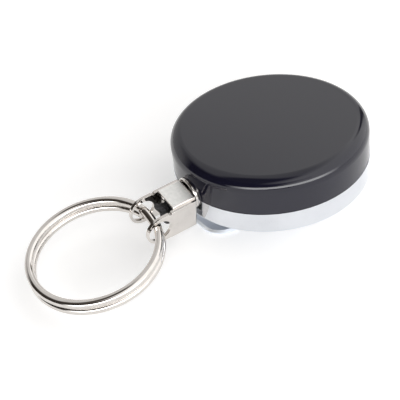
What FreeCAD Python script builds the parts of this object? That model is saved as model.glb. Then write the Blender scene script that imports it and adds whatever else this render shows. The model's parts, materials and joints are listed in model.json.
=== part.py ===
import FreeCAD, Part
import math
import os

from FreeCAD import Placement, Rotation, Vector

# Retractable key reel. Lengths are millimetres and angles are degrees.
# The origin is on the case axis, at the flat underside of the belt clip.
# +Z points out of the round cover, and the cord leaves the case along -X.

# case
case_radius = 20.0
cover_height = 7.4
rear_height = 4.75
rear_proud = 0.1
shell_wall = 0.8
cover_edge_radius = 2.5
rear_edge_radius = 0.9
spigot_wall = 0.7
spigot_height = 2.5

# belt clip
clip_depth = 4.0
clip_sheet = 0.8
clip_width = 13.2
clip_corner = 4.6
clip_base_reach = 11.0
clip_fold_inset = 1.2
clip_tip_inset = 1.0
clip_lead_in = 0.4
clip_rivet_spacing = 16.0
clip_rivet_radius = 1.0
rivet_head_radius = 1.9
rivet_head_height = 0.5
rivet_sink_radius = 1.5

# cord and the ferrule that guides it
cord_diameter = 1.1
cord_play = 0.1
cord_bend_radius = 3.4
ferrule_bore_radius = 2.5
ferrule_wall = 0.45
ferrule_flange = 0.35
ferrule_lip = 0.4
ferrule_tail = 0.5
ferrule_tail_flange = 0.3
ferrule_round = 0.3

# fixed post and its small parts
post_radius = 3.0
post_tail_radius = 1.5
post_head_radius = 2.7
post_head_height = 0.6
post_groove_depth = 0.6
washer_radius = 5.2
washer_thickness = 0.3
retainer_radius = 4.2
retainer_thickness = 0.4
retainer_gap = 3.2
post_end_gap = 0.1

# drum, spring barrel and power spring
hub_radius = 7.5
hub_spigot_radius = 6.0
flange_radius = 16.0
flange_thickness = 0.5
barrel_gap = 1.2
barrel_wall = 0.7
winding_margin = 5.0
winding_side_gap = 0.05
spring_strip = 0.22
spring_turns = 11
spring_edge_gap = 0.1
spring_hook_depth = 1.6
anchor_knot_radius = 0.95

# end fitting: bent strap with two eyes around a hollow block
fitting_gap = 0.12
strap_sheet = 0.7
strap_half_height = 3.45
strap_bend_radius = 0.45
strap_plate_length = 6.1
strap_notch_radius = 0.28
ear_rim = 0.9
eye_reach = 8.55
eye_offset = 0.4
eye_play = 0.67
block_width = 5.58
block_length = 5.1
block_setback = 0.06
block_plate = 0.45
block_wall = 0.5
block_edge_round = 0.14
knot_radius = 2.1
knot_gap = 0.12
cord_hole_play = 0.3
swivel_angle = 11.5

# split ring
ring_mean_radius = 12.76
ring_wire_radius = 0.89
ring_turn_web = 0.5
ring_inset = 0.17
ring_side_shift = 0.45
ring_drop_angle = 7.4
ring_lean_angle = 4.3

# fits between pieces
seat_fit = 0.03
running_fit = 0.04
running_gap = 0.05

# levels up the axis
case_bottom = clip_depth
floor_top = case_bottom + shell_wall
seam = case_bottom + rear_height
case_top = seam + cover_height
roof = case_top - shell_wall
cord_radius = cord_diameter / 2
cord_z = seam - (ferrule_bore_radius - cord_radius - cord_play)
drum_bottom = floor_top + washer_thickness + running_gap
channel_bottom = drum_bottom + flange_thickness
channel_top = 2 * cord_z - channel_bottom
barrel_floor_top = channel_top + flange_thickness
post_top = roof - post_end_gap
retainer_top = post_top - post_end_gap
retainer_bottom = retainer_top - retainer_thickness
upper_washer_bottom = retainer_bottom - washer_thickness
lid_top = upper_washer_bottom - running_gap
lid_bottom = lid_top - flange_thickness
spring_bottom = barrel_floor_top + spring_edge_gap
spring_top = lid_bottom - spring_edge_gap

# radii worked out from the case
rear_radius = case_radius + rear_proud
cover_inner_radius = case_radius - shell_wall
spigot_radius = cover_inner_radius - seat_fit
cavity_radius = spigot_radius - spigot_wall
ferrule_barrel_radius = ferrule_bore_radius + ferrule_wall
ferrule_radius = ferrule_barrel_radius + ferrule_flange
ferrule_tail_radius = ferrule_barrel_radius + ferrule_tail_flange
ferrule_face = rear_radius + ferrule_lip
ferrule_end = cavity_radius - running_gap - ferrule_tail
barrel_radius = cavity_radius - barrel_gap
barrel_inner_radius = barrel_radius - barrel_wall
winding_radius = barrel_radius - winding_margin
bore_radius = post_radius + running_fit
spring_end_radius = barrel_inner_radius - spring_strip
spring_pitch = (spring_end_radius - post_radius - spring_strip) / (spring_turns + 0.5)
spring_start_radius = post_radius + spring_strip + spring_pitch / 4

# places along the cord, counted outward from the case axis
cord_bend_reach = barrel_radius - flange_thickness * 2
fitting_start = ferrule_face + fitting_gap
eye_radius = 2 * ring_wire_radius + eye_play
ear_radius = eye_radius + ear_rim
eye_x = -(fitting_start + eye_reach)
ear_x = eye_x + eye_offset
block_start = fitting_start + block_setback
block_end = block_start + block_length
knot_start = fitting_start + strap_sheet + block_wall + knot_gap
knot_end = -eye_x - ring_inset - 2 * ring_wire_radius - knot_gap
fold_radius = clip_depth / 2
fold_x = rear_radius - clip_fold_inset - fold_radius
tip_x = -(rear_radius - clip_tip_inset)

up = Vector(0, 0, 1)
outward = Vector(-1, 0, 0)
sideways = Vector(0, 1, 0)
parts_folder = "parts"


def disc(radius, low, high, x=0.0, y=0.0):
    return Part.makeCylinder(radius, high - low, Vector(x, y, low), up)


def tube(outer, inner, low, high):
    return disc(outer, low, high).cut(disc(inner, low - 1, high + 1))


def rod_out(radius, near, far, z):
    # a bar along the cord's direction, from one reach to another
    return Part.makeCylinder(radius, far - near, Vector(-near, 0, z), outward)


def rod_across(radius, x, z, width):
    return Part.makeCylinder(radius, width, Vector(x, -width / 2, z), sideways)


def block(x0, x1, width, z0, z1):
    corner = Vector(min(x0, x1), -width / 2, z0)
    return Part.makeBox(abs(x1 - x0), width, z1 - z0, corner)


def circles_at(shape, radius, x):
    # the round edges of one radius whose centre is at one x
    found = []
    for edge in shape.Edges:
        if not isinstance(edge.Curve, Part.Circle):
            continue
        if abs(edge.Curve.Radius - radius) < 1e-6 and abs(edge.Curve.Center.x - x) < 1e-6:
            found.append(edge)
    return found


def level_circles(shape, radius, z):
    found = []
    for edge in shape.Edges:
        if not isinstance(edge.Curve, Part.Circle):
            continue
        if abs(edge.Curve.Radius - radius) < 1e-6 and abs(edge.Curve.Center.z - z) < 1e-6:
            found.append(edge)
    return found


def ferrule_hole(extra):
    return rod_out(ferrule_barrel_radius + extra, barrel_radius, rear_radius + 1, seam)


def make_front_cover():
    shell = disc(case_radius, seam, case_top)
    shell = shell.makeFillet(cover_edge_radius, level_circles(shell, case_radius, case_top))
    hollow = disc(cover_inner_radius, seam - 1, roof)
    inner_round = cover_edge_radius - shell_wall / 2
    hollow = hollow.makeFillet(inner_round, level_circles(hollow, cover_inner_radius, roof))
    return shell.cut(hollow).cut(ferrule_hole(seat_fit))


def make_rear_case():
    shell = disc(rear_radius, case_bottom, seam)
    shell = shell.makeFillet(rear_edge_radius, level_circles(shell, rear_radius, case_bottom))
    spigot = disc(spigot_radius, floor_top, seam + spigot_height)
    shell = shell.fuse(spigot)
    shell = shell.cut(disc(cavity_radius, floor_top, case_top))
    shell = shell.cut(ferrule_hole(seat_fit))
    shell = shell.cut(disc(post_tail_radius, case_bottom - 1, floor_top + 1))
    for x in (-clip_rivet_spacing / 2, clip_rivet_spacing / 2):
        shell = shell.cut(rivet_shank(x, case_bottom - 1, floor_top))
    return shell.removeSplitter()


def make_cord_ferrule():
    lip = rod_out(ferrule_radius, case_radius - 2, ferrule_face, seam)
    lip = lip.makeFillet(ferrule_round, circles_at(lip, ferrule_radius, -ferrule_face))
    lip = lip.cut(disc(rear_radius, case_bottom - 5, case_top + 5))
    barrel = rod_out(ferrule_barrel_radius, ferrule_end, rear_radius + ferrule_lip / 2, seam)
    tail = rod_out(ferrule_tail_radius, ferrule_end, ferrule_end + ferrule_tail, seam)
    tail = tail.common(disc(cavity_radius - running_gap, case_bottom, case_top))
    body = lip.fuse(barrel).fuse(tail).removeSplitter()
    body = body.cut(rod_out(ferrule_bore_radius, 0, rear_radius + 5, seam))
    return body.makeFillet(ferrule_round, circles_at(body, ferrule_bore_radius, -ferrule_face))


def make_centre_post():
    post = disc(post_radius, floor_top, post_top)
    post = post.fuse(disc(post_tail_radius, case_bottom - clip_sheet, floor_top))
    head_bottom = case_bottom - clip_sheet - post_head_height
    head = disc(post_head_radius, head_bottom, case_bottom - clip_sheet)
    head = head.makeFillet(post_head_height / 2, level_circles(head, post_head_radius, head_bottom))
    post = post.fuse(head)
    groove = tube(post_radius + 1, post_radius - post_groove_depth, retainer_bottom, retainer_top)
    slot_width = spring_strip + 2 * spring_edge_gap
    slot_start = post_radius - spring_hook_depth - spring_edge_gap
    slot_corner = Vector(slot_start, -spring_strip - spring_edge_gap, barrel_floor_top)
    slot = Part.makeBox(post_radius, slot_width, case_top, slot_corner)
    return post.cut(groove).cut(slot).removeSplitter()


def make_lower_washer():
    return tube(washer_radius, bore_radius, floor_top, floor_top + washer_thickness)


def make_upper_washer():
    return tube(washer_radius, bore_radius, upper_washer_bottom, retainer_bottom)


def make_retaining_ring():
    # an open ring that snaps into the groove near the top of the post
    inner = post_radius - post_groove_depth + seat_fit
    ring = tube(retainer_radius, inner, retainer_bottom, retainer_top)
    mouth = block(0, -retainer_radius - 1, retainer_gap, retainer_bottom - 1, retainer_top + 1)
    return ring.cut(mouth)


def make_cord_drum():
    drum = disc(flange_radius, drum_bottom, channel_bottom)
    drum = drum.fuse(disc(hub_radius, drum_bottom, channel_top))
    drum = drum.fuse(disc(hub_spigot_radius, drum_bottom, barrel_floor_top))
    drum = drum.cut(disc(bore_radius, floor_top, case_top))
    pocket = rod_out(anchor_knot_radius + seat_fit, -hub_radius - 1, -anchor_place(), cord_z)
    return drum.cut(pocket).removeSplitter()


def anchor_place():
    return (hub_radius + bore_radius) / 2 - anchor_knot_radius / 2


def make_anchor_knot():
    centre = Vector(anchor_place() + anchor_knot_radius, 0, cord_z)
    return Part.makeSphere(anchor_knot_radius, centre)


def make_spring_barrel():
    barrel = tube(barrel_radius, barrel_inner_radius, channel_top, lid_bottom)
    barrel = barrel.fuse(tube(barrel_radius, hub_spigot_radius + seat_fit, channel_top, barrel_floor_top))
    slot_corner = Vector(0, -spring_edge_gap, barrel_floor_top)
    slot_width = spring_strip + 2 * spring_edge_gap
    slot = Part.makeBox(barrel_radius + 1, slot_width, lid_bottom, slot_corner)
    return barrel.cut(slot).removeSplitter()


def make_spring_cover():
    return tube(barrel_radius, bore_radius, lid_bottom, lid_top)


def spiral_side(offset):
    # half circles whose centres alternate, so that each meets the next in line
    arcs = []
    for i in range(2 * spring_turns):
        radius = spring_start_radius + i * spring_pitch / 2 + offset
        turn = 1 if i % 2 == 0 else -1
        middle = -turn * spring_pitch / 4
        start = Vector(middle + turn * radius, 0, spring_bottom)
        crown = Vector(middle, turn * radius, spring_bottom)
        end = Vector(middle - turn * radius, 0, spring_bottom)
        arcs.append(Part.Arc(start, crown, end).toShape())
    return arcs


def make_power_spring():
    half = spring_strip / 2
    outer = spiral_side(half)
    inner = spiral_side(-half)
    caps = []
    for number, spot in ((0, 0), (-1, -1)):
        ends = (inner[number].Vertexes[spot].Point, outer[number].Vertexes[spot].Point)
        caps.append(Part.LineSegment(*ends).toShape())
    height = spring_top - spring_bottom
    spiral = Part.Face(Part.Wire(Part.__sortEdges__(outer + inner + caps)))
    spring = spiral.extrude(up * height)
    first = spring_start_radius - spring_pitch / 4
    last = first + spring_turns * spring_pitch
    hook_start = post_radius - spring_hook_depth
    inner_hook = Part.makeBox(first + half - hook_start, spring_strip, height,
                              Vector(hook_start, -spring_strip, spring_bottom))
    outer_hook = Part.makeBox(barrel_radius - last + half, spring_strip, height,
                              Vector(last - half, 0, spring_bottom))
    return spring.fuse(inner_hook).fuse(outer_hook).removeSplitter()


def make_cord_winding():
    low = channel_bottom + winding_side_gap
    high = channel_top - winding_side_gap
    return tube(winding_radius, hub_radius + seat_fit, low, high)


def lead_route():
    # off the winding, round a bend behind the ferrule, then straight out
    take_off = winding_radius + cord_radius + running_gap
    bend_centre = Vector(-cord_bend_reach, cord_bend_radius, cord_z)
    span = math.hypot(cord_bend_reach, cord_bend_radius)
    heading = math.atan2(cord_bend_radius, -cord_bend_reach)
    side = heading - math.acos((cord_bend_radius + take_off) / span)
    normal = Vector(math.cos(side), math.sin(side), 0)
    start = normal * take_off + Vector(0, 0, cord_z)
    bend_start = bend_centre - normal * cord_bend_radius
    half_turn = (side - math.pi / 2) / 2
    inward = Vector(-math.sin(half_turn), math.cos(half_turn), 0)
    bend_middle = bend_centre - inward * cord_bend_radius
    bend_end = Vector(-cord_bend_reach, 0, cord_z)
    finish = Vector(-knot_start, 0, cord_z)
    return start, bend_start, bend_middle, bend_end, finish


def make_cord_lead():
    start, bend_start, bend_middle, bend_end, finish = lead_route()
    first = Part.LineSegment(start, bend_start).toShape()
    bend = Part.Arc(bend_start, bend_middle, bend_end).toShape()
    last = Part.LineSegment(bend_end, finish).toShape()
    path = Part.Wire([first, bend, last])
    ring = Part.Wire(Part.makeCircle(cord_radius, start, bend_start - start))
    lead = path.makePipeShell([ring], True, False)
    expected = math.pi * cord_radius ** 2 * path.Length
    print("cord lead: bend radius", cord_bend_radius, "volume", round(lead.Volume, 3),
          "section x length", round(expected, 3))
    return lead


def swivelled(shape):
    # the fitting turns on the cord, and rests a little over to one side
    return shape.rotated(Vector(0, 0, cord_z), Vector(1, 0, 0), swivel_angle)


def make_cord_knot():
    length = knot_end - knot_start
    bar = rod_out(knot_radius, knot_start, knot_end, cord_z)
    round_end = min(knot_radius * 0.75, length / 2 - seat_fit)
    ends = circles_at(bar, knot_radius, -knot_end) + circles_at(bar, knot_radius, -knot_start)
    return bar.makeFillet(round_end, ends)


def make_clevis_strap():
    outer_width = block_width + 2 * strap_sheet
    low = cord_z - strap_half_height
    high = cord_z + strap_half_height
    plate_end = -(fitting_start + strap_plate_length)
    strap = block(-fitting_start, plate_end, outer_width, low, high)
    bends = [edge for edge in strap.Edges
             if abs(edge.Vertexes[0].X - edge.Vertexes[1].X) < 1e-6
             and abs(edge.Vertexes[0].Y - edge.Vertexes[1].Y) < 1e-6
             and abs(edge.Vertexes[0].X + fitting_start) < 1e-6]
    strap = strap.makeFillet(strap_bend_radius, bends)
    neck = block(plate_end, ear_x, outer_width, cord_z - ear_radius, cord_z + ear_radius)
    strap = strap.fuse(neck).fuse(rod_across(ear_radius, ear_x, cord_z, outer_width))
    strap = strap.cut(rod_across(strap_notch_radius, plate_end, cord_z + ear_radius, outer_width + 2))
    far = block(-(fitting_start + strap_sheet), eye_x - ear_radius - 1, block_width, low - 1, high + 1)
    strap = strap.cut(far)
    strap = strap.cut(rod_across(eye_radius, eye_x, cord_z, outer_width + 2))
    strap = strap.cut(rod_out(cord_radius + cord_hole_play, ferrule_face, block_start + 2, cord_z))
    return swivelled(strap.removeSplitter())


def make_clevis_block():
    top = cord_z + strap_half_height
    inner_start = -(fitting_start + strap_sheet)
    body = block(inner_start, -block_end, block_width - 2 * seat_fit, 2 * cord_z - top, top)
    plate = block(-block_start, -block_end, block_width, top, top + block_plate)
    rims = [edge for edge in plate.Edges
            if edge.BoundBox.ZMin > top + block_plate - 1e-6]
    plate = plate.makeFillet(block_edge_round, rims)
    body = body.fuse(plate)
    cavity_width = block_width - 2 * block_wall
    floor = 2 * cord_z - top + block_wall
    cavity = block(inner_start - block_wall, -block_end - 1, cavity_width, floor, top - block_wall / 2)
    hole = rod_out(cord_radius + cord_hole_play, fitting_start, block_end, cord_z)
    return swivelled(body.cut(cavity).cut(hole).removeSplitter())


def make_split_ring():
    # two turns of wire lying on each other, joined by a narrow web between them
    ring = tube(ring_mean_radius + ring_turn_web / 2, ring_mean_radius - ring_turn_web / 2,
                -ring_wire_radius, ring_wire_radius)
    for level in (-ring_wire_radius, ring_wire_radius):
        turn = Part.makeTorus(ring_mean_radius, ring_wire_radius, Vector(0, 0, level), up)
        ring = ring.fuse(turn)
    ring = ring.removeSplitter()
    reach = ring_mean_radius - ring_inset
    ring.translate(Vector(-reach, ring_side_shift, 0))
    lean = Rotation(Vector(1, 0, 0), ring_lean_angle)
    drop = Rotation(Vector(0, 1, 0), -ring_drop_angle)
    ring.Placement = Placement(Vector(eye_x, 0, cord_z), lean.multiply(drop)).multiply(ring.Placement)
    return ring


def rounded_strip(end_x, start_x, corner, low, high):
    # a flat strip from the fold to an end with two rounded corners
    strip = block(end_x, start_x, clip_width, low, high)
    corners = [edge for edge in strip.Edges
               if abs(edge.Vertexes[0].X - end_x) < 1e-6
               and abs(edge.Vertexes[1].X - end_x) < 1e-6
               and abs(edge.Vertexes[0].Z - edge.Vertexes[1].Z) > 1e-6]
    return strip.makeFillet(corner, corners)


def fold_quarter(low, high):
    ring = rod_across(fold_radius, fold_x, fold_radius, clip_width)
    ring = ring.cut(rod_across(fold_radius - clip_sheet, fold_x, fold_radius, clip_width + 2))
    return ring.common(block(fold_x, fold_x + fold_radius + 1, clip_width + 2, low, high))


def make_clip_base():
    low = case_bottom - clip_sheet
    base = rounded_strip(-clip_base_reach, fold_x, clip_corner, low, case_bottom)
    base = base.fuse(fold_quarter(fold_radius, case_bottom + 1)).removeSplitter()
    base = base.cut(disc(post_tail_radius, low - 1, case_bottom + 1))
    for x in (-clip_rivet_spacing / 2, clip_rivet_spacing / 2):
        base = base.cut(disc(clip_rivet_radius, low - 1, case_bottom + 1, x))
    return base


def make_clip_tongue():
    strip = rounded_strip(tip_x, fold_x, clip_corner, 0, clip_sheet)
    rim = [edge for edge in strip.Edges
           if edge.BoundBox.ZMin > clip_sheet - 1e-6
           and edge.BoundBox.XMax < fold_x - 1e-6]
    strip = strip.makeChamfer(clip_lead_in, rim)
    return strip.fuse(fold_quarter(-1, fold_radius)).removeSplitter()


def rivet_shank(x, low, high):
    shank = disc(clip_rivet_radius, low, high, x)
    sink = rivet_sink_radius - clip_rivet_radius
    cone = Part.makeCone(clip_rivet_radius, rivet_sink_radius, sink, Vector(x, 0, high - sink), up)
    return shank.fuse(cone)


def make_clip_rivets():
    rivets = []
    bottom = case_bottom - clip_sheet
    for x in (-clip_rivet_spacing / 2, clip_rivet_spacing / 2):
        head = disc(rivet_head_radius, bottom - rivet_head_height, bottom, x)
        rim = level_circles(head, rivet_head_radius, bottom - rivet_head_height)
        head = head.makeFillet(rivet_head_height / 2, rim)
        rivets.append(head.fuse(rivet_shank(x, bottom, floor_top)).removeSplitter())
    return Part.makeCompound(rivets)


nodes = {
    "front_cover": make_front_cover,
    "rear_case": make_rear_case,
    "cord_ferrule": make_cord_ferrule,
    "centre_post": make_centre_post,
    "lower_washer": make_lower_washer,
    "upper_washer": make_upper_washer,
    "retaining_ring": make_retaining_ring,
    "cord_drum": make_cord_drum,
    "spring_barrel": make_spring_barrel,
    "spring_cover": make_spring_cover,
    "power_spring": make_power_spring,
    "cord_winding": make_cord_winding,
    "cord_anchor_knot": make_anchor_knot,
    "cord_lead": make_cord_lead,
    "cord_end_knot": make_cord_knot,
    "clevis_strap": make_clevis_strap,
    "clevis_block": make_clevis_block,
    "split_ring": make_split_ring,
    "clip_base": make_clip_base,
    "clip_tongue": make_clip_tongue,
    "clip_rivets": make_clip_rivets,
}

os.makedirs(parts_folder, exist_ok=True)
for name, make in nodes.items():
    shape = make()
    if not shape.isValid():
        raise ValueError(name + " is not a valid shape")
    shape.exportStep(os.path.join(parts_folder, name + ".step"))
    print(name, "solids", len(shape.Solids), "volume", round(shape.Volume, 2))
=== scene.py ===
import bpy
import json
import math
from mathutils import Matrix, Vector


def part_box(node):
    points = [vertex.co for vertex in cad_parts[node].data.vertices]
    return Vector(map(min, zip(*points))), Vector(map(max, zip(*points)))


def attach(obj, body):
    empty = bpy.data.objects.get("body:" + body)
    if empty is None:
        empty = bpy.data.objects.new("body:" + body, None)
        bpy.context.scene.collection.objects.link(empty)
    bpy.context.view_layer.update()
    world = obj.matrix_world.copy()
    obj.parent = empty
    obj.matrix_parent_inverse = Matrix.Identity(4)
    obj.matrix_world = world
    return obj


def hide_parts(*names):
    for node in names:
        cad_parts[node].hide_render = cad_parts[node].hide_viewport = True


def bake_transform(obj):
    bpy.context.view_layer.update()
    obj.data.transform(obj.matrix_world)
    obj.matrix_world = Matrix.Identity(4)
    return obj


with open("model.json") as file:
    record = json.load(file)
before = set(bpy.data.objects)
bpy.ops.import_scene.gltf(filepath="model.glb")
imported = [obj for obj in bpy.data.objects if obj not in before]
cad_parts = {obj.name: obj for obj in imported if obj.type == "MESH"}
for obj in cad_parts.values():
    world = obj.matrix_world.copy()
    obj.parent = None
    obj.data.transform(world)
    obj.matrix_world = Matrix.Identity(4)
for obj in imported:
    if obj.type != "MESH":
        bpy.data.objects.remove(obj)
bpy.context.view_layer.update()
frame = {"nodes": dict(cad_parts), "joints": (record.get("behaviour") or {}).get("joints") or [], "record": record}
mm = 0.001
nodes = frame["nodes"]
mounts = {mount["name"]: mount for mount in frame["record"]["mounts"]}
joints = {joint["name"]: joint for joint in frame["joints"]}
eye = Vector(joints["ring_swing"]["pos_m"])
swingAxis = joints["ring_swing"]["axis"]
swivelTurn = math.atan2(swingAxis[2], swingAxis[1])  # how far over the fitting rests
cordHeight = eye.z


# camera

camera = {
    "place": (-0.08421, -0.12481, 0.11722),
    "look": (0.36862, 0.69328, -0.61926),
    "roll": 8.74,
    "lens": 81.2, "sensor": 36,
    "nearest": 0.01, "farthest": 20,
}


def makeCamera(values):
    forward = Vector(values["look"]).normalized()
    level = forward.cross(Vector((0, 0, 1))).normalized()
    upright = level.cross(forward)
    roll = math.radians(values["roll"])
    right = level * math.cos(roll) - upright * math.sin(roll)
    top = level * math.sin(roll) + upright * math.cos(roll)
    bpy.ops.object.camera_add()
    made = bpy.context.object
    turn = Matrix((right, top, -forward)).transposed().to_4x4()
    made.matrix_world = Matrix.Translation(values["place"]) @ turn
    made.data.lens = values["lens"]
    made.data.sensor_width = values["sensor"]
    made.data.clip_start = values["nearest"]
    made.data.clip_end = values["farthest"]
    bpy.context.scene.camera = made


# node helpers

def newMaterial(name):
    material = bpy.data.materials.new(name)
    material.use_nodes = True
    return material, material.node_tree, material.node_tree.nodes["Principled BSDF"]


def addNode(tree, kind, **settings):
    node = tree.nodes.new(kind)
    for key, value in settings.items():
        setattr(node, key, value)
    return node


def feed(tree, node, **links):
    # each input takes either a number or colour, or the output of another node
    for key, value in links.items():
        socket = node.inputs[int(key[1:])] if key[0] == "i" and key[1:].isdigit() else node.inputs[key]
        if isinstance(value, bpy.types.NodeSocket):
            tree.links.new(value, socket)
        else:
            socket.default_value = value
    return node


def newGroup(name, inputs, outputs):
    tree = bpy.data.node_groups.new(name, "ShaderNodeTree")
    for label, value in inputs.items():
        kind = "NodeSocketVector" if isinstance(value, tuple) else "NodeSocketFloat"
        socket = tree.interface.new_socket(label, in_out="INPUT", socket_type=kind)
        socket.default_value = value
    for label, kind in outputs.items():
        tree.interface.new_socket(label, in_out="OUTPUT", socket_type=kind)
    return tree, tree.nodes.new("NodeGroupInput"), tree.nodes.new("NodeGroupOutput")


def useGroup(tree, group, **values):
    node = addNode(tree, "ShaderNodeGroup", node_tree=group)
    for label, value in values.items():
        socket = node.inputs[label]
        if isinstance(value, bpy.types.NodeSocket):
            tree.links.new(value, socket)
        else:
            socket.default_value = value
    return node


def remap(tree, value, low, high, toLow, toHigh):
    node = addNode(tree, "ShaderNodeMapRange")
    return feed(tree, node, i0=value, i1=low, i2=high, i3=toLow, i4=toHigh).outputs[0]


def math2(tree, operation, first, second):
    node = addNode(tree, "ShaderNodeMath", operation=operation)
    return feed(tree, node, i0=first, i1=second).outputs[0]


def mixColour(tree, factor, first, second):
    node = addNode(tree, "ShaderNodeMix", data_type="RGBA")
    return feed(tree, node, i0=factor, i6=first, i7=second).outputs[2]


# shared surface effects

handling = {
    "smudgeEdge": (0.42, 0.7),
    "hairEdge": (0.56, 0.68), "hairRoughness": 0.04, "hairDepth": 0.00002,
}


def makeHandledGroup(values):
    # smudges and hairline scratches of a plated metal that is carried about
    floatOut, vectorOut = "NodeSocketFloat", "NodeSocketVector"
    tree, given, result = newGroup(
        "handledMetal",
        {"smudgeScale": 150.0, "clean": 0.06, "dull": 0.16, "scratchScale": 900.0,
         "stretch": (1.0, 1.0, 0.05), "relief": 0.05},
        {"Roughness": floatOut, "Smudge": floatOut, "Normal": vectorOut})
    place = addNode(tree, "ShaderNodeTexCoord").outputs["Object"]
    smudge = feed(tree, addNode(tree, "ShaderNodeTexNoise"), Vector=place,
                  Scale=given.outputs["smudgeScale"], Detail=5.0, Roughness=0.6).outputs[0]
    mask = remap(tree, smudge, *values["smudgeEdge"], 0.0, 1.0)
    pulled = feed(tree, addNode(tree, "ShaderNodeVectorMath", operation="MULTIPLY"),
                  i0=place, i1=given.outputs["stretch"]).outputs[0]
    hair = feed(tree, addNode(tree, "ShaderNodeTexNoise"), Vector=pulled,
                Scale=given.outputs["scratchScale"], Detail=3.0, Roughness=0.7).outputs[0]
    lines = remap(tree, hair, *values["hairEdge"], 0.0, 1.0)
    span = math2(tree, "SUBTRACT", given.outputs["dull"], given.outputs["clean"])
    rough = math2(tree, "MULTIPLY", mask, span)
    rough = math2(tree, "ADD", rough, given.outputs["clean"])
    rough = math2(tree, "ADD", rough, math2(tree, "MULTIPLY", lines, values["hairRoughness"]))
    bump = feed(tree, addNode(tree, "ShaderNodeBump"), Height=lines,
                Strength=given.outputs["relief"], Distance=values["hairDepth"])
    tree.links.new(rough, result.inputs["Roughness"])
    tree.links.new(mask, result.inputs["Smudge"])
    tree.links.new(bump.outputs[0], result.inputs["Normal"])
    return tree


cloudSpread = (0.3, 0.7)  # the part of the cloudy noise that is stretched from low to high


def makeGrainGroup():
    # the fine orange peel of paint, moulded plastic or tumbled metal
    tree, given, result = newGroup(
        "fineGrain",
        {"grainScale": 3000.0, "cloudScale": 120.0, "smooth": 0.35, "coarse": 0.45, "relief": 0.1,
         "depth": 0.00002},
        {"Roughness": "NodeSocketFloat", "Cloud": "NodeSocketFloat", "Grain": "NodeSocketFloat",
         "Normal": "NodeSocketVector"})
    place = addNode(tree, "ShaderNodeTexCoord").outputs["Object"]
    grain = feed(tree, addNode(tree, "ShaderNodeTexNoise"), Vector=place,
                 Scale=given.outputs["grainScale"], Detail=3.0, Roughness=0.55).outputs[0]
    cloud = feed(tree, addNode(tree, "ShaderNodeTexNoise"), Vector=place,
                 Scale=given.outputs["cloudScale"], Detail=4.0, Roughness=0.6).outputs[0]
    rough = remap(tree, cloud, *cloudSpread, given.outputs["smooth"], given.outputs["coarse"])
    bump = feed(tree, addNode(tree, "ShaderNodeBump"), Height=grain,
                Strength=given.outputs["relief"], Distance=given.outputs["depth"])
    tree.links.new(rough, result.inputs["Roughness"])
    tree.links.new(cloud, result.inputs["Cloud"])
    tree.links.new(grain, result.inputs["Grain"])
    tree.links.new(bump.outputs[0], result.inputs["Normal"])
    return tree


def makeSpeckGroup():
    # a few specks of pale dust
    tree, given, result = newGroup("dustSpecks", {"scale": 260.0, "size": 0.1, "share": 0.03},
                                   {"Mask": "NodeSocketFloat"})
    place = addNode(tree, "ShaderNodeTexCoord").outputs["Object"]
    cells = feed(tree, addNode(tree, "ShaderNodeTexVoronoi"), Vector=place, Scale=given.outputs["scale"])
    near = math2(tree, "LESS_THAN", cells.outputs["Distance"], given.outputs["size"])
    cellNumber = addNode(tree, "ShaderNodeSeparateColor")
    tree.links.new(cells.outputs["Color"], cellNumber.inputs[0])
    chosen = math2(tree, "LESS_THAN", cellNumber.outputs[0], given.outputs["share"])
    mask = math2(tree, "MULTIPLY", near, chosen)
    tree.links.new(mask, result.inputs["Mask"])
    return tree


# the gaps between the strands darken as painted shade in the recesses of the braid
gapShadeEdge = 0.4  # how sharply the gaps between the strands darken


def makeBraidGroup():
    # crossing strands around a cord that lies along X; the second output is painted shade, 1 in the gaps between
    # the strands
    tree, given, result = newGroup("braid", {"strands": 8.0, "pitch": 1500.0},
                                   {"Height": "NodeSocketFloat", "GapShade": "NodeSocketFloat"})
    place = addNode(tree, "ShaderNodeTexCoord").outputs["Object"]
    centred = feed(tree, addNode(tree, "ShaderNodeVectorMath", operation="SUBTRACT"),
                   i0=place, i1=(0.0, 0.0, cordHeight)).outputs[0]
    split = addNode(tree, "ShaderNodeSeparateXYZ")
    tree.links.new(centred, split.inputs[0])
    angle = math2(tree, "ARCTAN2", split.outputs[1], split.outputs[2])
    around = math2(tree, "MULTIPLY", angle, given.outputs["strands"])
    along = math2(tree, "MULTIPLY", split.outputs[0], given.outputs["pitch"])
    left = math2(tree, "SINE", math2(tree, "ADD", around, along), 0.0)
    right = math2(tree, "SINE", math2(tree, "SUBTRACT", around, along), 0.0)
    weave = math2(tree, "MAXIMUM", left, right)
    height = remap(tree, weave, -1.0, 1.0, 0.0, 1.0)
    gapShade = remap(tree, weave, -gapShadeEdge, gapShadeEdge, 1.0, 0.0)
    tree.links.new(height, result.inputs["Height"])
    tree.links.new(gapShade, result.inputs["GapShade"])
    return tree


handled = makeHandledGroup(handling)
fineGrain = makeGrainGroup()
specks = makeSpeckGroup()
braid = makeBraidGroup()


# finishes

paint = {
    "deep": (0.004, 0.004, 0.0112, 1), "thin": (0.0052, 0.0052, 0.014, 1), "dust": (0.35, 0.34, 0.32, 1),
    "shine": 0.57,
    "grain": {"grainScale": 2600.0, "cloudScale": 90.0, "smooth": 0.07, "coarse": 0.1, "relief": 0.06},
    "specks": {"scale": 240.0, "size": 0.035, "share": 0.05},
}


def paintedBlack(values):
    material, tree, shader = newMaterial("satinBlack")
    grain = useGroup(tree, fineGrain, **values["grain"])
    dust = useGroup(tree, specks, **values["specks"])
    coat = mixColour(tree, grain.outputs["Cloud"], values["deep"], values["thin"])
    colour = mixColour(tree, dust.outputs["Mask"], coat, values["dust"])
    feed(tree, shader, **{"Base Color": colour, "Roughness": grain.outputs["Roughness"],
                          "Normal": grain.outputs["Normal"]})
    shader.inputs["Specular IOR Level"].default_value = values["shine"]
    return material


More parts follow.
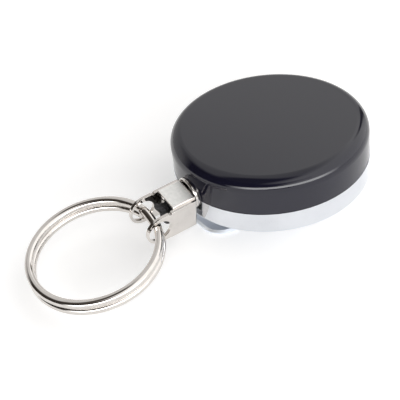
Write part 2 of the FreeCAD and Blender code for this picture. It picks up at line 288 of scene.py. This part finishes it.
def platedMetal(name, clear, dulled, values):
    material, tree, shader = newMaterial(name)
    worn = useGroup(tree, handled, **values)
    colour = mixColour(tree, worn.outputs["Smudge"], clear, dulled)
    shader.inputs["Metallic"].default_value = 1
    feed(tree, shader, **{"Base Color": colour, "Roughness": worn.outputs["Roughness"],
                          "Normal": worn.outputs["Normal"]})
    return material


# the block's top plate: matte in the middle, with a polished border
blockFace = {
    "rim": 0.34, "rimFade": 0.7, "half": 2.79, "rimRoughness": 0.14, "rimColour": (0.9, 0.87, 0.84, 1),
    "dark": (0.82, 0.825, 0.805, 1), "light": (0.96, 0.96, 0.94, 1),
    "grain": {"grainScale": 3500.0, "cloudScale": 1300.0, "smooth": 0.34, "coarse": 0.5, "relief": 0.3},
}


def plateRim(tree, values):
    # 1 along the edges of the top plate, worked out in the fitting's own level
    low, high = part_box("clevis_block")
    place = addNode(tree, "ShaderNodeTexCoord").outputs["Object"]
    turned = feed(tree, addNode(tree, "ShaderNodeVectorRotate", rotation_type="X_AXIS"),
                  Vector=place, Center=(0.0, 0.0, cordHeight), Angle=-swivelTurn)
    split = addNode(tree, "ShaderNodeSeparateXYZ")
    tree.links.new(turned.outputs[0], split.inputs[0])
    begins, full = values["rim"] * mm, values["rim"] * values["rimFade"] * mm
    width, reach = values["half"] * mm, (high.x - low.x) / 2
    across = math2(tree, "ABSOLUTE", split.outputs[1], 0.0)
    side = remap(tree, across, width - begins, width - full, 0.0, 1.0)
    along = math2(tree, "ABSOLUTE", math2(tree, "SUBTRACT", split.outputs[0], (low.x + high.x) / 2), 0.0)
    end = remap(tree, along, reach - begins, reach - full, 0.0, 1.0)
    return math2(tree, "MAXIMUM", side, end)


def tumbledNickel(values):
    material, tree, shader = newMaterial("tumbledNickel")
    grain = useGroup(tree, fineGrain, **values["grain"])
    rim = plateRim(tree, values)
    mottle = remap(tree, grain.outputs["Cloud"], *cloudSpread, 0.0, 1.0)
    colour = mixColour(tree, mottle, values["dark"], values["light"])
    colour = mixColour(tree, rim, colour, values["rimColour"])
    rough = feed(tree, addNode(tree, "ShaderNodeMix"), Factor=rim, A=grain.outputs["Roughness"],
                 B=values["rimRoughness"])
    shader.inputs["Metallic"].default_value = 1
    feed(tree, shader, **{"Base Color": colour, "Roughness": rough.outputs[0],
                          "Normal": grain.outputs["Normal"]})
    return material


nylon = {
    "dark": (0.74, 0.73, 0.69, 1), "light": (0.82, 0.81, 0.78, 1),
    "grain": {"grainScale": 1800.0, "cloudScale": 200.0, "smooth": 0.4, "coarse": 0.55, "relief": 0.1},
}


def mouldedNylon(values):
    material, tree, shader = newMaterial("whiteNylon")
    grain = useGroup(tree, fineGrain, **values["grain"])
    colour = mixColour(tree, grain.outputs["Cloud"], values["dark"], values["light"])
    feed(tree, shader, **{"Base Color": colour, "Roughness": grain.outputs["Roughness"],
                          "Normal": grain.outputs["Normal"]})
    return material


# the gap colour, darker than the strands, is painted shade in the recesses of the braid
cordBraid = {
    "strand": (0.03, 0.03, 0.033, 1), "gapShade": (0.004, 0.004, 0.005, 1), "roughness": 0.62,
    "relief": 0.8, "depth": 0.00008, "weave": {"strands": 6.0, "pitch": 5200.0},
}


def braidedCord(values):
    material, tree, shader = newMaterial("blackCord")
    weave = useGroup(tree, braid, **values["weave"])
    # painted shade: the gaps between the strands take the darker colour
    colour = mixColour(tree, weave.outputs["GapShade"], values["strand"], values["gapShade"])
    bump = feed(tree, addNode(tree, "ShaderNodeBump"), Height=weave.outputs["Height"],
                Strength=values["relief"], Distance=values["depth"])
    shader.inputs["Roughness"].default_value = values["roughness"]
    feed(tree, shader, **{"Base Color": colour, "Normal": bump.outputs[0]})
    return material


knotFibre = {
    "dark": (0.006, 0.006, 0.007, 1), "light": (0.04, 0.04, 0.045, 1), "fibreEdge": (0.35, 0.65),
    "grain": {"grainScale": 2200.0, "cloudScale": 1500.0, "smooth": 0.5, "coarse": 0.7, "relief": 0.9,
              "depth": 0.00012},
}


def knottedCord(values):
    material, tree, shader = newMaterial("knottedCord")
    grain = useGroup(tree, fineGrain, **values["grain"])
    fibres = remap(tree, grain.outputs["Grain"], *values["fibreEdge"], 0.0, 1.0)
    colour = mixColour(tree, fibres, values["dark"], values["light"])
    feed(tree, shader, **{"Base Color": colour, "Roughness": grain.outputs["Roughness"],
                          "Normal": grain.outputs["Normal"]})
    return material


satinBlack = paintedBlack(paint)
chromePlate = platedMetal("chromePlate", (0.73, 0.75, 0.785, 1), (0.68, 0.7, 0.735, 1),
                          {"smudgeScale": 110.0, "clean": 0.05, "dull": 0.14, "scratchScale": 700.0,
                           "stretch": (1.0, 1.0, 6.0), "relief": 0.05})
nickelPlate = platedMetal("nickelPlate", (0.69, 0.66, 0.63, 1), (0.63, 0.6, 0.57, 1),
                          {"smudgeScale": 420.0, "clean": 0.035, "dull": 0.11, "scratchScale": 1600.0,
                           "stretch": (0.3, 1.0, 1.0), "relief": 0.06})
clipSteel = platedMetal("clipSteel", (0.9, 0.94, 1.0, 1), (0.86, 0.9, 0.96, 1),
                        {"smudgeScale": 200.0, "clean": 0.4, "dull": 0.5, "scratchScale": 2600.0,
                         "stretch": (0.05, 1.0, 1.0), "relief": 0.06})
plainSteel = platedMetal("plainSteel", (0.62, 0.62, 0.62, 1), (0.5, 0.5, 0.5, 1),
                         {"smudgeScale": 300.0, "clean": 0.22, "dull": 0.36, "scratchScale": 1500.0,
                          "stretch": (1.0, 1.0, 4.0), "relief": 0.3})
springSteel = platedMetal("springSteel", (0.3, 0.33, 0.4, 1), (0.24, 0.22, 0.24, 1),
                          {"smudgeScale": 260.0, "clean": 0.2, "dull": 0.34, "scratchScale": 1200.0,
                           "stretch": (1.0, 1.0, 5.0), "relief": 0.2})
matteNickel = tumbledNickel(blockFace)
whiteNylon = mouldedNylon(nylon)
blackCord = braidedCord(cordBraid)
knotCord = knottedCord(knotFibre)
print("finishes")


# studio

studio = {
    "floorSize": 6.0, "floorHeight": -0.0002,
    "paper": (0.84, 0.84, 0.84, 1), "paperLight": (0.86, 0.86, 0.86, 1), "paperGlow": 0.4,
    "paperGrain": {"grainScale": 900.0, "cloudScale": 4.0, "smooth": 0.85, "coarse": 0.95},
    "room": (0.8, 0.79, 0.78, 1), "backdrop": (1, 1, 1, 1),
    # each patch of the surroundings: its middle, the half angles of its core and reach, its colour
    "patches": (
        {"azimuth": -120, "elevation": 66, "wide": (40, 75), "tall": (18, 34),
         "colour": (0.72, 0.71, 0.71, 1)},
        {"azimuth": -118, "elevation": 2, "wide": (60, 70), "tall": (4, 6),
         "colour": (0.06, 0.055, 0.05, 1)},
        {"azimuth": -43, "elevation": 36, "wide": (50, 64), "tall": (26, 40),
         "colour": (1.5, 1.49, 1.48, 1)},
        {"azimuth": 186, "elevation": 66, "wide": (16, 24), "tall": (24, 34),
         "colour": (0.1, 0.09, 0.08, 1)},
        {"azimuth": 182, "elevation": 14, "wide": (44, 58), "tall": (34, 46),
         "colour": (0.05, 0.043, 0.037, 1)},
        {"azimuth": -112, "elevation": 15, "wide": (38, 62), "tall": (6.5, 9),
         "colour": (6.5, 6.5, 6.5, 1)},
        {"azimuth": 25, "elevation": 6, "wide": (2.5, 6), "tall": (26, 36),
         "colour": (0.12, 0.11, 0.1, 1)},
    ),
}


def patchMask(tree, look, patch):
    # turns the patch to face +X, then measures how far a direction lies from its middle
    turned = feed(tree, addNode(tree, "ShaderNodeVectorRotate", rotation_type="Z_AXIS"),
                  Vector=look, Angle=-math.radians(patch["azimuth"]))
    lift = math.radians(patch["elevation"])
    level = feed(tree, addNode(tree, "ShaderNodeVectorRotate", rotation_type="Y_AXIS"),
                 Vector=turned.outputs[0], Angle=lift)
    split = addNode(tree, "ShaderNodeSeparateXYZ")
    tree.links.new(level.outputs[0], split.inputs[0])
    mask = math2(tree, "GREATER_THAN", split.outputs[0], 0.0)
    for axis, (core, reach) in ((1, patch["wide"]), (2, patch["tall"])):
        away = math2(tree, "ABSOLUTE", split.outputs[axis], 0.0)
        inside = remap(tree, away, math.sin(math.radians(core)), math.sin(math.radians(reach)), 1.0, 0.0)
        mask = math2(tree, "MULTIPLY", mask, inside)
    return mask


def makeSurroundings(values):
    world = bpy.data.worlds.new("studio")
    world.use_nodes = True
    tree = world.node_tree
    look = addNode(tree, "ShaderNodeTexCoord").outputs["Generated"]
    colour = values["room"]
    for patch in values["patches"]:
        colour = mixColour(tree, patchMask(tree, look, patch), colour, patch["colour"])
    seen = addNode(tree, "ShaderNodeLightPath").outputs["Is Camera Ray"]
    shown = mixColour(tree, seen, colour, values["backdrop"])  # plain and pale where it is seen directly
    tree.links.new(shown, tree.nodes["Background"].inputs["Color"])
    bpy.context.scene.world = world


def makeStudio(values):
    makeSurroundings(values)
    bpy.ops.mesh.primitive_plane_add(size=values["floorSize"])
    floor = bpy.context.object
    floor.name = "floor"
    floor.location = (0, 0, values["floorHeight"])
    paper, tree, shader = newMaterial("floorPaper")
    grain = useGroup(tree, fineGrain, **values["paperGrain"])
    tint = mixColour(tree, grain.outputs["Cloud"], values["paper"], values["paperLight"])
    shader.inputs["Emission Strength"].default_value = values["paperGlow"]
    feed(tree, shader, **{"Base Color": tint, "Roughness": grain.outputs["Roughness"],
                          "Emission Color": tint})
    floor.data.materials.append(paper)
    bpy.context.scene.view_settings.view_transform = "Standard"


makeCamera(camera)
makeStudio(studio)
print("camera and studio")


# mesh helpers

smoothing = {"wire": 40, "fitting": 50}  # angles between faces that still shade as one surface


def chooseOnly(made):
    bpy.ops.object.select_all(action="DESELECT")
    made.select_set(True)
    bpy.context.view_layer.objects.active = made


def pick(made, test):
    # selects vertices by their place and leaves the piece in edit mode
    bpy.ops.object.mode_set(mode="EDIT")
    bpy.ops.mesh.select_mode(type="VERT")
    bpy.ops.mesh.select_all(action="DESELECT")
    bpy.ops.object.mode_set(mode="OBJECT")
    for vertex in made.data.vertices:
        vertex.select = test(vertex.co)
    bpy.ops.object.mode_set(mode="EDIT")


def sweepWire(name, points, radius, values):
    # a round wire along the points, made a mesh; a NURBS line runs smoothly past them
    curve = bpy.data.curves.new(name, "CURVE")
    curve.dimensions = "3D"
    spline = curve.splines.new(values["line"])
    spline.points.add(len(points) - 1)
    for point, spot in zip(spline.points, points):
        point.co = (*spot, 1)
    if values["line"] == "NURBS":
        spline.order_u = 3
        spline.use_endpoint_u = True
        curve.resolution_u = values["fineness"]
    curve.bevel_depth = radius
    curve.bevel_resolution = values["roundness"]
    curve.use_fill_caps = True
    made = bpy.data.objects.new(name, curve)
    bpy.context.scene.collection.objects.link(made)
    chooseOnly(made)
    bpy.ops.object.convert(target="MESH")
    return bpy.context.object


def finishPiece(made, material, node):
    made.data.materials.clear()
    made.data.materials.append(material)
    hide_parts(node)


# split ring: one wire, coiled twice, that steps from one turn to the other between the eyes

ring = {
    "meanRadius": 12.76, "wireRadius": 0.887,
    "step": 24.0, "endAt": 13.5, "every": 2.5,  # degrees round the ring
    "line": "POLY", "roundness": 8,
}


def smoothStep(value):
    value = min(max(value, 0), 1)
    return value * value * (3 - 2 * value)


def makeSplitRing(values):
    centre = Vector(mounts["key_ring"]["pos_m"])
    normal = Vector(mounts["key_ring"]["axis"]).normalized()
    inward = Vector((1, 0, 0))
    inward = (inward - normal * inward.dot(normal)).normalized()
    side = normal.cross(inward)
    sweep = 720 - 2 * values["endAt"]
    count = round(sweep / values["every"])
    points = []
    for i in range(count + 1):
        angle = values["endAt"] + sweep * i / count
        rise = smoothStep((angle - 360) / values["step"] + 0.5) * 2 - 1
        turn = math.radians(angle)
        arm = inward * math.cos(turn) + side * math.sin(turn)
        points.append(centre + (arm * values["meanRadius"] + normal * rise * values["wireRadius"]) * mm)
    made = sweepWire("keyRing", points, values["wireRadius"] * mm, values)
    bpy.ops.object.shade_smooth_by_angle(angle=math.radians(smoothing["wire"]))
    finishPiece(made, nickelPlate, "split_ring")
    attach(made, "key_ring")


makeSplitRing(ring)
print("split ring")


# end fitting: strap bent round a hollow block, with its sharp edges broken

fitting = {
    "strapEdge": 0.13, "blockEdge": 0.1,
    "sharper": 35.0, "segments": 3,  # edges sharper than this are broken
    "lintel": (3.2, 2.9), "recess": 1.1,  # the block's walls end this far behind its top plate
    "frontDepth": 0.05, "margin": 0.01,  # how far from a plane still counts as on it
    "merge": 0.002, "flat": 0.6,
}


def copyOf(node, name, values):
    source = nodes[node]
    made = source.copy()
    made.data = source.data.copy()
    made.name = name
    made.data.name = name
    made.parent = None
    made.matrix_world = Matrix.Identity(4)
    bpy.context.scene.collection.objects.link(made)
    made.hide_render = False
    chooseOnly(made)
    bpy.ops.object.mode_set(mode="EDIT")
    bpy.ops.mesh.select_all(action="SELECT")
    bpy.ops.mesh.remove_doubles(threshold=values["merge"] * mm)
    bpy.ops.object.mode_set(mode="OBJECT")
    return made


def recessWalls(made, values):
    # the side walls and the bottom end behind the front edge of the top plate
    upright = Vector((0, -math.sin(swivelTurn), math.cos(swivelTurn)))
    middle = Vector((0, 0, cordHeight))
    above, below = values["lintel"]
    bpy.ops.object.mode_set(mode="EDIT")
    for level in (above, below):
        bpy.ops.mesh.select_all(action="SELECT")
        bpy.ops.mesh.bisect(plane_co=middle + upright * level * mm, plane_no=upright)
    bpy.ops.object.mode_set(mode="OBJECT")
    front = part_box("clevis_block")[0].x + values["frontDepth"] * mm
    top = (below + values["margin"]) * mm
    pick(made, lambda spot: spot.x < front and (spot - middle).dot(upright) < top)
    bpy.ops.transform.translate(value=(values["recess"] * mm, 0, 0))
    bpy.ops.object.mode_set(mode="OBJECT")


def joinFlats(made, values):
    bpy.ops.object.mode_set(mode="EDIT")
    bpy.ops.mesh.select_all(action="SELECT")
    bpy.ops.mesh.dissolve_limited(angle_limit=math.radians(values["flat"]))
    bpy.ops.object.mode_set(mode="OBJECT")


def breakEdges(made, width, values):
    bevel = made.modifiers.new("edge", "BEVEL")
    bevel.width = width * mm
    bevel.segments = values["segments"]
    bevel.limit_method = "ANGLE"
    bevel.angle_limit = math.radians(values["sharper"])
    bevel.use_clamp_overlap = True
    bpy.ops.object.modifier_apply(modifier="edge")


def finishFitting(made, width, material, node):
    joinFlats(made, fitting)
    breakEdges(made, width, fitting)
    bpy.ops.object.shade_smooth_by_angle(angle=math.radians(smoothing["fitting"]))
    weight = made.modifiers.new("normals", "WEIGHTED_NORMAL")
    weight.keep_sharp = True
    bpy.ops.object.modifier_apply(modifier="normals")
    finishPiece(made, material, node)
    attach(made, "clevis")


strap = copyOf("clevis_strap", "fittingStrap", fitting)
finishFitting(strap, fitting["strapEdge"], nickelPlate, "clevis_strap")
block = copyOf("clevis_block", "fittingBlock", fitting)
recessWalls(block, fitting)
finishFitting(block, fitting["blockEdge"], matteNickel, "clevis_block")
print("end fitting")


# stopper knot: the cord wound over itself behind the block

knot = {
    "cord": 0.55, "wraps": 4, "perWrap": 8, "firstTurn": 0.6,
    "start": 22.7, "end": 26.7,  # the knot's two ends, measured out from the middle of the case
    "wrapRadius": 1.42, "swell": 0.7, "taper": 2.2, "flat": 0.96,
    "wobble": 0.05, "wobbleRate": 2.3, "drift": 0.16, "driftRate": 1.7,
    "core": ((-22.1, 0, 0), (-23.2, 0.15, 0.1), (-24.6, -0.12, 0.12), (-25.9, 0.1, -0.1),
             (-26.35, 0.5, 0.35)),
    "tail": ((-23.4, 1.0, 1.0), (-25.0, 1.02, 0.98), (-26.3, 0.95, 0.9)),
    "line": "NURBS", "fineness": 6, "roundness": 4,
}


def knotRoute(values):
    # through the middle, back over itself in wraps, and forward along the outside
    turns = values["wraps"] * values["perWrap"]
    route = list(values["core"])
    for i in range(turns + 1):
        part = i / turns
        angle = 2 * math.pi * values["wraps"] * part + values["firstTurn"]
        wobble = 1 + values["wobble"] * math.sin(angle * values["wobbleRate"] + 1)
        fuller = values["swell"] * max(0, 1 - values["taper"] * part)
        reach = (values["wrapRadius"] + fuller) * wobble
        along = values["end"] + (values["start"] - values["end"]) * part
        along += values["drift"] * math.sin(angle * values["driftRate"])
        route.append((-along, reach * math.cos(angle), reach * math.sin(angle) * values["flat"]))
    return route + list(values["tail"])


def makeKnot(values):
    points = [(x * mm, y * mm, z * mm + cordHeight) for x, y, z in knotRoute(values)]
    made = sweepWire("cordKnot", points, values["cord"] * mm, values)
    bpy.ops.object.shade_smooth_by_angle(angle=math.radians(smoothing["wire"]))
    finishPiece(made, knotCord, "cord_end_knot")
    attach(made, "cord_end")


makeKnot(knot)
print("stopper knot")


# pull cord: a copy of the cord lead, which runs from inside the case out to the knot, shaded smooth and given the
# cord's finish

pull = {"holdsAt": -16.4, "goesAt": -22.0, "merge": 0.002}


def makePullCord(values):
    made = copyOf("cord_lead", "pullCord", values)
    bpy.ops.object.shade_smooth_by_angle(angle=math.radians(smoothing["fitting"]))
    finishPiece(made, blackCord, "cord_lead")
    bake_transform(made)


makePullCord(pull)
print("pull cord")


# finishes of the pieces that keep their own shape

nodeFinishes = (
    (satinBlack, ("front_cover",)),
    (chromePlate, ("rear_case",)),
    (nickelPlate, ("cord_ferrule",)),
    (clipSteel, ("clip_base", "clip_tongue")),
    (blackCord, ("cord_winding",)),
    (knotCord, ("cord_anchor_knot",)),
    (whiteNylon, ("cord_drum", "spring_barrel", "spring_cover")),
    (springSteel, ("power_spring",)),
    (plainSteel, ("clip_rivets", "centre_post", "lower_washer", "upper_washer", "retaining_ring")),
)

for material, names in nodeFinishes:
    for name in names:
        mesh = nodes[name].data
        mesh.materials.clear()
        mesh.materials.append(material)
print("case, clip and inside")
